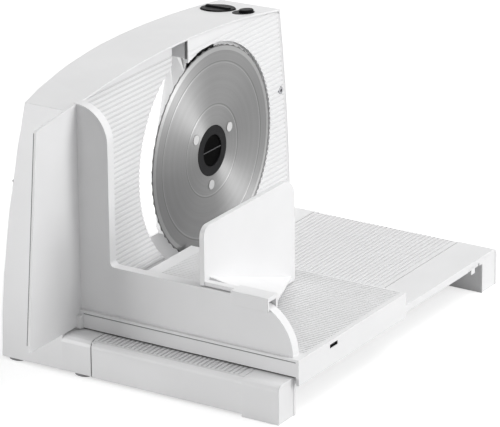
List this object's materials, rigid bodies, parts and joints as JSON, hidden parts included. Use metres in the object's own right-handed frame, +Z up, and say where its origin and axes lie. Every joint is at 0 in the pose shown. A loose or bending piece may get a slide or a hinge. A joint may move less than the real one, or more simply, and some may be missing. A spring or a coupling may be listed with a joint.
{
  "type": "food slicer",
  "caption": "Electric kitchen food slicer with arched housing, toothed round blade, ribbed stop plate, sliding food carriage, food holder and fold-out table.",
  "frame": {"origin": "middle of the bounding box's footprint, on the worktop the slicer stands on", "axes": "+X from the motor housing out over the table, +Y the way the carriage pushes food past the blade, +Z up"},
  "size_m": [0.2682, 0.3742, 0.2149],
  "materials": {
    "white_plastic": "white moulded plastic, satin",
    "black_plastic": "black moulded plastic, satin",
    "grey_plastic": "grey moulded plastic, matte",
    "brushed_steel": "turned steel",
    "bright_steel": "ground stainless steel with circular brushing",
    "sintered_brass": "sintered bearing metal",
    "rubber": "matte rubber",
    "gear_nylon": "natural nylon"
  },
  "bodies": {
    "base": {"housing": "white_plastic", "rear_cover": "white_plastic", "rear_screw_1": "bright_steel", "rear_screw_2": "bright_steel", "rear_screw_3": "bright_steel", "rear_screw_4": "bright_steel", "rear_screw_5": "bright_steel", "guard_plate": "white_plastic", "guard_screw": "bright_steel", "motor_can": "brushed_steel", "motor_end_cap": "black_plastic", "motor_mount": "grey_plastic", "gear_bracket": "grey_plastic", "worm_bush": "sintered_brass", "front_bearing": "sintered_brass", "rear_bearing": "sintered_brass", "switch_module": "black_plastic", "button_contact": "grey_plastic", "folding_table": "white_plastic", "table_hinge_pin_1": "brushed_steel", "table_hinge_pin_2": "brushed_steel", "table_end_frame": "white_plastic", "table_latch": "grey_plastic", "rubber_foot_1": "rubber", "rubber_foot_2": "rubber", "rubber_foot_3": "rubber", "rubber_foot_4": "rubber", "cord_gland": "rubber"},
    "blade_unit": {"blade": "bright_steel", "blade_hub": "black_plastic", "blade_rivet_1": "bright_steel", "blade_rivet_2": "bright_steel", "blade_rivet_3": "bright_steel", "blade_lock": "black_plastic", "spindle": "brushed_steel", "worm_wheel": "gear_nylon"},
    "worm_shaft": {"worm": "brushed_steel"},
    "stop_unit": {"stop_plate": "white_plastic", "stop_guide_lower": "brushed_steel", "stop_guide_upper": "brushed_steel", "stop_carrier": "black_plastic"},
    "knob_unit": {"thickness_knob": "black_plastic", "thickness_screw": "grey_plastic"},
    "carriage": {"carriage": "white_plastic"},
    "holder": {"food_holder": "white_plastic"},
    "switch": {"power_switch": "black_plastic"},
    "button": {"safety_button": "black_plastic"}
  },
  "joints": [
    {"name": "blade_spin", "type": "hinge", "parent": "base", "child": "blade_unit", "pos_m": [-0.06315, 0.07057, 0.113], "axis": [1, 0, 0], "continuous": true},
    {"name": "motor_spin", "type": "hinge", "parent": "base", "child": "worm_shaft", "pos_m": [-0.08915, 0.10327, 0.113], "axis": [0, 0, -1], "continuous": true},
    {"name": "stop_slide", "type": "slide", "parent": "base", "child": "stop_unit", "axis": [1, 0, 0], "range_m": [-0.009, 0.0055]},
    {"name": "thickness_turn", "type": "hinge", "parent": "base", "child": "knob_unit", "pos_m": [-0.11915, -0.08943, 0.112], "axis": [1, 0, 0], "range_deg": [-181, 111]},
    {"name": "carriage_slide", "type": "slide", "parent": "base", "child": "carriage", "axis": [0, 1, 0], "range_m": [0, 0.15]},
    {"name": "holder_slide", "type": "slide", "parent": "carriage", "child": "holder", "axis": [-1, 0, 0], "range_m": [0, 0.074]},
    {"name": "switch_turn", "type": "hinge", "parent": "base", "child": "switch", "pos_m": [-0.09975, 0.13817, 0.20544], "axis": [-0.0368, 0.1141, 0.9928], "range_deg": [0, 60]},
    {"name": "button_press", "type": "slide", "parent": "base", "child": "button", "axis": [0.037, -0.124, -0.9916], "range_m": [0, 0.002], "stiffness_N_per_m": 400, "springref_m": -0.002}
  ],
  "couplings": [
    {"joint": "motor_spin", "follows": "blade_spin", "ratio": 36},
    {"joint": "thickness_turn", "follows": "stop_slide", "rad_per_m": 349.07}
  ]
}
